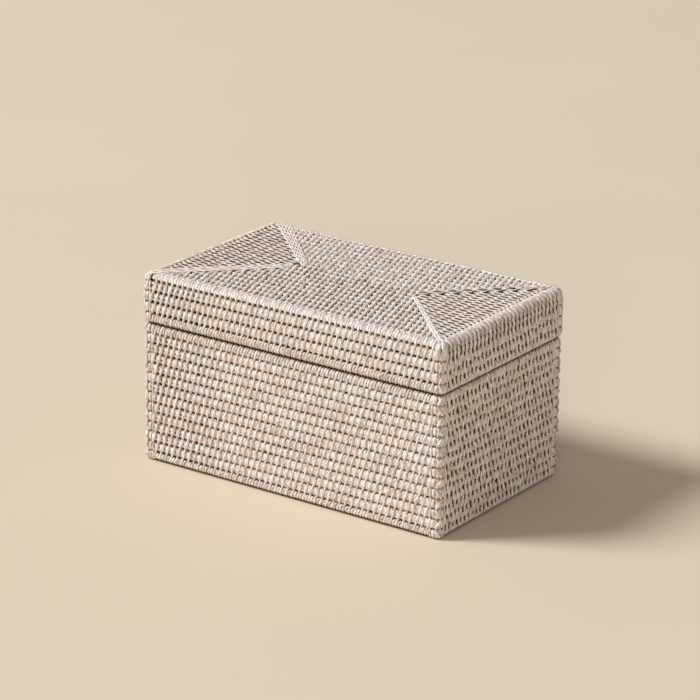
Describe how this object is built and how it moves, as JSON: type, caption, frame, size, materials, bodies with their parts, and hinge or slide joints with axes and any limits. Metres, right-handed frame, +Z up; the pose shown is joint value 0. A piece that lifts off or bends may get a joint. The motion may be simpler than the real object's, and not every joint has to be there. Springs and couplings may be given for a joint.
{
  "type": "lidded rattan storage box",
  "caption": "Rectangular whitewashed rattan box of stacked cane-bound hoops, with a flat mitred lid that lifts off a collar inside the rim.",
  "frame": {"origin": "centre of the underside, on the surface that the box stands on", "axes": "+X along the length to the right of the front, +Y from the front to the back, +Z up"},
  "size_m": [0.307, 0.186, 0.1692],
  "materials": {
    "whitewashed_rattan": "rattan rod bound with split cane, whitewashed with a thin streaky white paint, matt",
    "bare_rattan": "flat rattan strip, smooth, lightly washed"
  },
  "bodies": {
    "box": {"wall_hoop_01": "whitewashed_rattan", "wall_hoop_02": "whitewashed_rattan", "wall_hoop_03": "whitewashed_rattan", "wall_hoop_04": "whitewashed_rattan", "wall_hoop_05": "whitewashed_rattan", "wall_hoop_06": "whitewashed_rattan", "wall_hoop_07": "whitewashed_rattan", "wall_hoop_08": "whitewashed_rattan", "wall_hoop_09": "whitewashed_rattan", "wall_hoop_10": "whitewashed_rattan", "wall_hoop_11": "whitewashed_rattan", "wall_hoop_12": "whitewashed_rattan", "wall_hoop_13": "whitewashed_rattan", "wall_hoop_14": "whitewashed_rattan", "bottom_hoop_01": "whitewashed_rattan", "bottom_hoop_02": "whitewashed_rattan", "bottom_hoop_03": "whitewashed_rattan", "bottom_hoop_04": "whitewashed_rattan", "bottom_hoop_05": "whitewashed_rattan", "bottom_hoop_06": "whitewashed_rattan", "bottom_hoop_07": "whitewashed_rattan", "bottom_hoop_08": "whitewashed_rattan", "bottom_hoop_09": "whitewashed_rattan", "bottom_spine": "whitewashed_rattan", "collar": "bare_rattan"},
    "lid": {"lid_hoop_01": "whitewashed_rattan", "lid_hoop_02": "whitewashed_rattan", "lid_hoop_03": "whitewashed_rattan", "lid_hoop_04": "whitewashed_rattan", "lid_edge_hoop": "whitewashed_rattan", "top_hoop_01": "whitewashed_rattan", "top_hoop_02": "whitewashed_rattan", "top_hoop_03": "whitewashed_rattan", "top_hoop_04": "whitewashed_rattan", "top_hoop_05": "whitewashed_rattan", "top_hoop_06": "whitewashed_rattan", "top_hoop_07": "whitewashed_rattan", "top_hoop_08": "whitewashed_rattan", "top_hoop_09": "whitewashed_rattan", "top_spine": "whitewashed_rattan"}
  },
  "joints": [
    {"name": "lid_lift", "type": "slide", "parent": "box", "child": "lid", "axis": [0, 0, 1], "range_m": [0, 0.15]}
  ]
}
